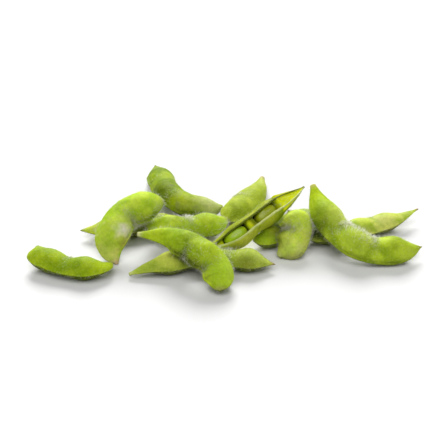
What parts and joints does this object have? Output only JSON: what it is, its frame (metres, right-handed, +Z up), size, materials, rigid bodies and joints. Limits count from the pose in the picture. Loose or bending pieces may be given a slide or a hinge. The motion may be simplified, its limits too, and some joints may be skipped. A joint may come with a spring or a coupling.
{
  "type": "edamame pod bundle",
  "caption": "Loose heap of fresh green soybean pods lying on a surface, most of them shut and one split open over its beans.",
  "frame": {"origin": "bottom centre of the heap's box, on the surface that the pods lie on", "axes": "+X along the heap from left to right, +Z up, so -Y is the front"},
  "size_m": [0.1626, 0.1072, 0.0216],
  "materials": {
    "pod_skin": "soft satin plant skin, downy with short pale hairs",
    "pod_skin_pale": "paler satin plant skin, downy with short pale hairs",
    "pod_skin_shaded": "darker olive plant skin, downy with short pale hairs",
    "open_pod": "downy plant skin outside, smooth and moist inside",
    "bean": "smooth, moist and glossy"
  },
  "bodies": {
    "root": {"pod_far_left": "pod_skin", "pod_leaning_left": "pod_skin", "pod_under_left": "pod_skin_shaded", "pod_back_left": "pod_skin", "pod_middle": "pod_skin", "pod_back_centre": "pod_skin_pale", "pod_behind_open": "pod_skin_shaded", "pod_curled": "pod_skin_pale", "pod_right": "pod_skin", "pod_back_right": "pod_skin_pale", "pod_front_over": "pod_skin", "pod_front_under": "pod_skin_shaded", "open_pod_shell": "open_pod", "bean_lower": "bean", "bean_upper": "bean"}
  },
  "joints": []
}
